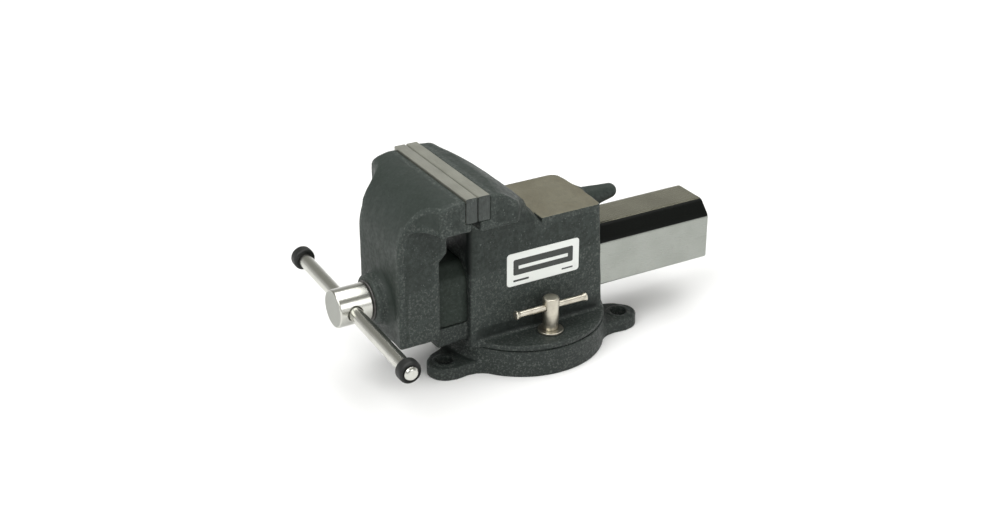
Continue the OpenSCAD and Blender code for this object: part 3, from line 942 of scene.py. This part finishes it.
CAST = cast_paint()
REAR = rear_paint()
PLATE = plate_steel()
BAR = bar_steel()
CHROME = chrome()
THREAD = thread_steel()
NICKEL = nickel()
DARK = dark_steel("dark_steel", (0.16, 0.155, 0.15))
SPRING = dark_steel("spring_steel", (0.34, 0.34, 0.33))
RUBBER = rubber()
WHITE = plastic("label_white", (0.70, 0.72, 0.69))
BAND = plastic("label_band", (0.022, 0.026, 0.022), 0.42)


# ---------- castings ----------

def off_seat(x, y, z):
    """1 on the cast skin of the front casting, and 0 on its plate seat and round the spindle."""
    return smooth(np.hypot(x, z - axis_z), boss_r, boss_r + 8) * (1 - smooth(y, neck_y - 4, neck_y))


def off_anvil(x, y, z):
    """1 on the cast skin of the rear casting, and 0 on its machined faces and under the label."""
    flat = smooth(z, anvil_top - 5, anvil_top - 1) * smooth(y, anvil_front - 6, anvil_front)
    seat = 1 - smooth(y, rear_plate_high[1], rear_plate_high[1] + 4)
    bar = 1 - smooth(bar_field(x, y, z), 1, 5)
    foot = 1 - smooth(z, base_top + 1, base_top + 4)
    outside = np.maximum(between(y, label_low[1], label_high[1]), between(z, label_low[2], label_high[2]))
    label = smooth(x, 20, 30) * (1 - smooth(outside, 0, 5))
    return (1 - flat) * (1 - seat) * (1 - bar) * (1 - foot) * (1 - label)


def off_foot(x, y, z):
    """1 on the ring's cast skin, and 0 near its underside and its top face."""
    return smooth(z, 1.5, 4) * (1 - smooth(z, base_top - 3, base_top - 1))


def front_casting():
    mesh = carved(front_field, front_low, front_high, 1.1, 0.30, (off_seat, 0.09, 16.0))
    stand_in("front_casting", mesh, "front_jaw", CAST)


def rear_casting():
    mesh = carved(rear_field, rear_low, rear_high, 1.1, 0.30, (off_anvil, 0.09, 16.0))
    stand_in("rear_casting", mesh, "rear_jaw", REAR)


def base_ring():
    mesh = carved(ring_field, ring_low, ring_high, 1.0, 0.35, (off_foot, 0.10, 14.0))
    stand_in("base_ring", mesh, "base", CAST)


# ---------- bar and plates ----------

def slide_bar():
    mesh = carved(slide_field, bar_low, bar_high, 1.3, 0.10)
    stand_in("slide_bar", mesh, "front_jaw", BAR)


def jaw_plate(node, low, high, out, body):
    """A jaw plate; out is 1 where it grips towards +Y and -1 towards -Y."""
    back, face = (low[1], high[1])[::out]

    def shape(x, y, z):
        return plate_field(x, y, z, face, back)

    stand_in(node, carved(shape, low, high, 0.55, 0.35), body, PLATE)


# ---------- spindle ----------

def spindle_head():
    low = [-head_r, spindle_low[1], axis_z - head_r]
    high = [head_r, head_back + 4, axis_z + head_r]
    head = piece("spindle_head", carved(head_field, low, high, 0.5, 0.5), "spindle", CHROME)
    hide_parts("spindle")


def spindle_thread():
    """The spindle's trapezoid thread, of one turn in lead mm, run out at both ends."""
    lead, depth = 5.0, 2.4
    end = spindle_high[1]
    sides = 40
    ridge = [(0.0, -depth), (0.14, -depth), (0.32, 0.0), (0.66, 0.0), (0.84, -depth)]
    rows = int((end - neck_end) / lead * sides)
    points, faces = [], []
    for i in range(rows + 1):
        angle = 2 * math.pi * i / sides
        for share, out in ridge:
            along = neck_end + lead * (i / sides + share) - lead
            along = min(max(along, neck_end - 3), end)
            r = rod_r + out
            points.append((r * math.cos(angle), along, axis_z + r * math.sin(angle)))
    count = len(ridge)
    for i in range(rows):
        for k in range(count - 1):
            a = i * count + k
            faces.append((a, a + 1, a + count + 1, a + count))
    for i in range(rows - sides):
        a, b = i * count + count - 1, (i + sides) * count
        faces.append((a, b, b + count, a + count))
    piece("spindle_thread", new_mesh(points, faces), "spindle", THREAD)


def spindle_rod():
    """The spindle's plain neck, and the core that its thread stands on."""
    neck_r, core_r, end_r = rod_r - 0.4, rod_r - 2.6, rod_r - 4
    neck, length = neck_end - head_back, spindle_high[1] - head_back
    profile = [(0, 0, 0), (0, neck_r, 0.4), (neck + 2, neck_r, 1.0), (neck + 4, core_r, 0.5),
               (length - 2, core_r, 0.5), (length, end_r, 0.4), (length, 0, 0)]
    mesh = turned(profile, [0, head_back, axis_z], [0, 1, 0], 64)
    piece("spindle_rod", mesh, "spindle", THREAD)


def spindle_spring():
    turns, wire_r = 6.5, 1.6
    coil_r = (spring_high[0] + rod_r + 1) / 2
    angle = np.linspace(0, 2 * math.pi * turns, int(turns * 40))
    run = np.linspace(spring_low[1] + wire_r, spring_high[1] - wire_r, len(angle))
    coil = np.stack([coil_r * np.cos(angle), run, axis_z + coil_r * np.sin(angle)], 1)
    stand_in("spindle_spring", tube(coil, wire_r), "spindle", SPRING)


# ---------- handle ----------

def handle_bar():
    half, shoulder = handle_half, handle_half - handle_nose
    nose_r = handle_r - 1.7
    profile = [(-half, 0, 0), (-half + 0.6, nose_r, 3.0), (-shoulder, handle_r, 1.2),
               (shoulder, handle_r, 1.2), (half - 0.6, nose_r, 3.0), (half, 0, 0)]
    stand_in("handle_bar", turned(profile, handle_middle, handle_axis, 72), "handle", CHROME)


def handle_cap(node, out):
    """A cap, made along X and then turned to the handle's tilt; out is 1 at the near end, -1 at the far."""
    def shape(x, y, z):
        return cap_field(x, y, z, out)

    ends = sorted([out * cap_in, out * cap_out])
    mesh = carved(shape, [ends[0], -cap_r, -cap_r], [ends[1], cap_r, cap_r], 0.5, 0.5)
    cap = stand_in(node, mesh, "handle", RUBBER)
    cap.rotation_mode = "QUATERNION"
    cap.rotation_quaternion = Vector((1, 0, 0)).rotation_difference(Vector(handle_axis))
    cap.location = Vector(handle_middle * MM)


# ---------- lock bolts ----------

def lock_bolt(node, body, sign):
    """A swivel lock bolt; sign is 1 on the near side and -1 on the far side."""
    def shape(x, y, z):
        return lock_field(x * sign, y, z)

    reach = lock_r + 0.2
    low = [sign * lock_x - reach, -reach, lock_low[2]]
    high = [sign * lock_x + reach, reach, lock_high[2]]
    stand_in(node, carved(shape, low, high, 0.45, 0.5), body, NICKEL)


def lock_bar(node, body, sign):
    """The small bar through a lock bolt, flared at both ends."""
    half, flare, neck = lock_bar_half, lock_bar_half - 1.4, lock_bar_half - 4.2
    profile = [(-half, 0, 0), (-half, lock_bar_end_r, 1.0), (-flare, lock_bar_end_r, 1.0),
               (-neck, lock_bar_r, 2.0), (neck, lock_bar_r, 2.0), (flare, lock_bar_end_r, 1.0),
               (half, lock_bar_end_r, 1.0), (half, 0, 0)]
    mesh = turned(profile, [sign * lock_x, 0, lock_bar_z], [0, 1, 0], 40)
    stand_in(node, mesh, body, NICKEL)


def lock_washer(node, sign):
    hole_r = lock_r - 0.7
    profile = [(0, hole_r, 0), (0, washer_r, 0.3), (washer_t, washer_r, 0.6), (washer_t, hole_r, 0.3),
               (0, hole_r, 0)]
    mesh = turned(profile, [sign * lock_x, 0, flange_top], [0, 0, 1], 64)
    stand_in(node, mesh, "rear_jaw", NICKEL)


# ---------- label ----------

def badge(low, high, r, x0, x1):
    """A thin rounded plate on the near flank, from low to high in y and z and from x0 to x1."""
    (y0, z0), (y1, z1) = low, high
    middle = np.array([(y0 + y1) / 2, (z0 + z1) / 2])
    corners = [(middle[0], z0, 0), (y1, z0, r), (y1, z1, r), (y0, z1, r), (y0, z0, r), (middle[0], z0, 0)]
    outline = arcs(corners, 8)[:-1]
    edge = min(0.12, (x1 - x0) / 2)
    inner = middle + (outline - middle) * (1 - edge / np.array([(y1 - y0) / 2, (z1 - z0) / 2]))
    layers = [(x0, outline), (x1 - edge, outline), (x1, inner), (x1, middle + (inner - middle) * 1e-3)]
    count = len(outline)
    points = np.concatenate([np.column_stack([np.full(count, x), path]) for x, path in layers])
    mesh = new_mesh(points, band_faces(len(layers), count))
    mesh.shade_flat()
    return mesh


def label():
    """The label: a plain pale plate with a dark band, a pale stripe and two short dark lines."""
    back, face = label_low[0], label_high[0]
    low, high = label_low[1:], label_high[1:]
    plate = piece("label_looks", badge(low, high, 3.0, back, face), "rear_jaw", WHITE)
    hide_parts("label_plate")
    band_low, band_high = low + [6.0, 9.6], high - [6.0, 6.0]
    mesh = badge(band_low, band_high, 1.5, face - 0.1, face + 0.04)
    piece("label_band", mesh, "rear_jaw", BAND)
    stripe = (band_low + [5, 5.2], [band_high[0] - 5, band_low[1] + 8.4])
    left = (low + [6, 3.6], low + [21, 5.4])
    right = ([high[0] - 17, low[1] + 3.6], [high[0] - 6, low[1] + 5.0])
    for name, spot, finish in (("label_stripe", stripe, WHITE), ("label_line_left", left, BAND),
                               ("label_line_right", right, BAND)):
        mesh = badge(*spot, 0.5, face - 0.05, face + 0.07)
        piece(name, mesh, "rear_jaw", finish)


# ---------- CAD nodes that stay ----------

def kept_node(node, finish):
    """A CAD node that is seen as it is, with its edges softened."""
    kept = frame["nodes"][node]
    kept.data.materials.clear()
    kept.data.materials.append(finish)
    weld = kept.modifiers.new("weld", "WELD")
    weld.merge_threshold = 0.00001
    bevel = kept.modifiers.new("bevel", "BEVEL")
    bevel.width = 0.0004
    bevel.segments = 2
    bevel.limit_method = "ANGLE"
    bevel.angle_limit = math.radians(40)
    bevel.harden_normals = False


# ---------- stage ----------

def stage_floor():
    """A plain pale floor, which glows a little far away so that it doesn't turn grey there."""
    reach = 6.0
    mesh = bpy.data.meshes.new("floor")
    mesh.from_pydata([(-reach, -reach, 0), (reach, -reach, 0), (reach, reach, 0), (-reach, reach, 0)], [],
                     [(0, 1, 2, 3)])
    floor = added("floor", mesh)
    look = Finish("floor")
    x, y = look.where()[:2]
    away = look.math("SQRT", look.math("ADD", look.times(x, x), look.times(y, y)))
    look.set(base_color=(0.86, 0.86, 0.86, 1), roughness=0.7, emission_color=(1, 1, 1, 1),
             emission_strength=look.steps(away, 0.8, 3.2, 0.0, 0.5))
    mesh.materials.append(look.material)


def softbox(name, place, aim, width, height, watts):
    data = bpy.data.lights.new(name, "AREA")
    data.shape = "RECTANGLE"
    data.size, data.size_y = width, height
    data.energy = watts
    lamp = added(name, data)
    lamp.location = place
    lamp.rotation_euler = (Vector(aim) - Vector(place)).to_track_quat("-Z", "Y").to_euler()


def studio():
    """A soft sky, pale at the horizon and greyer overhead, and three large soft lamps."""
    world = bpy.data.worlds.new("studio")
    bpy.context.scene.world = world
    world.use_nodes = True
    tree = world.node_tree
    place = tree.nodes.new("ShaderNodeTexCoord")
    height = tree.nodes.new("ShaderNodeSeparateXYZ")
    ramp = tree.nodes.new("ShaderNodeValToRGB")
    tree.links.new(place.outputs["Generated"], height.inputs[0])
    tree.links.new(height.outputs[2], ramp.inputs[0])
    tree.links.new(ramp.outputs[0], tree.nodes["Background"].inputs["Color"])
    horizon, overhead = ramp.color_ramp.elements
    horizon.position, horizon.color = 0.12, (0.90, 0.90, 0.90, 1)
    overhead.position, overhead.color = 0.55, (0.36, 0.36, 0.33, 1)
    tree.nodes["Background"].inputs["Strength"].default_value = 0.9
    aim = (0, 0, 0.08)
    softbox("key", (0.5, -1.7, 2.1), aim, 2.2, 2.2, 55)
    softbox("fill", (2.3, 0.5, 1.3), aim, 1.6, 1.2, 16)
    softbox("top", (-0.3, 0.5, 2.6), aim, 2.4, 2.4, 56)


def photo_camera():
    """The photograph's view, from a camera fitted to the object's own corners."""
    data = bpy.data.cameras.new("camera")
    data.sensor_width = 36
    data.lens = 56.33
    data.shift_x, data.shift_y = 0.0024, 0.00225
    camera = added("camera", data)
    azimuth, elevation = math.radians(60.21), math.radians(26.77)
    look = Vector((-math.sin(azimuth) * math.cos(elevation), math.cos(azimuth) * math.cos(elevation),
                   -math.sin(elevation)))
    camera.location = (1.02917, -0.61193, 0.67367)
    camera.rotation_euler = look.to_track_quat("-Z", "Y").to_euler()
    bpy.context.scene.camera = camera


# ---------- the vise ----------

front_casting()
rear_casting()
base_ring()
slide_bar()
jaw_plate("front_jaw_plate", front_plate_low, front_plate_high, 1, "front_jaw")
jaw_plate("rear_jaw_plate", rear_plate_low, rear_plate_high, -1, "rear_jaw")
spindle_head()
spindle_thread()
spindle_rod()
spindle_spring()
handle_bar()
handle_cap("handle_cap_near", 1)
handle_cap("handle_cap_far", -1)
for where, sign in (("near", 1), ("far", -1)):
    lock_bolt("lock_bolt_" + where, "lock_" + where, sign)
    lock_bar("lock_bar_" + where, "lock_bar_" + where, sign)
    lock_washer("lock_washer_" + where, sign)
label()
for node in ("rear_plate_screws", "front_plate_screws", "spindle_nut", "nut_bolts", "nut_washers",
             "lock_plate", "thrust_washer", "spring_washer"):
    kept_node(node, DARK)
kept_node("split_pin", SPRING)

stage_floor()
studio()
photo_camera()
bpy.context.scene.view_settings.view_transform = "Standard"
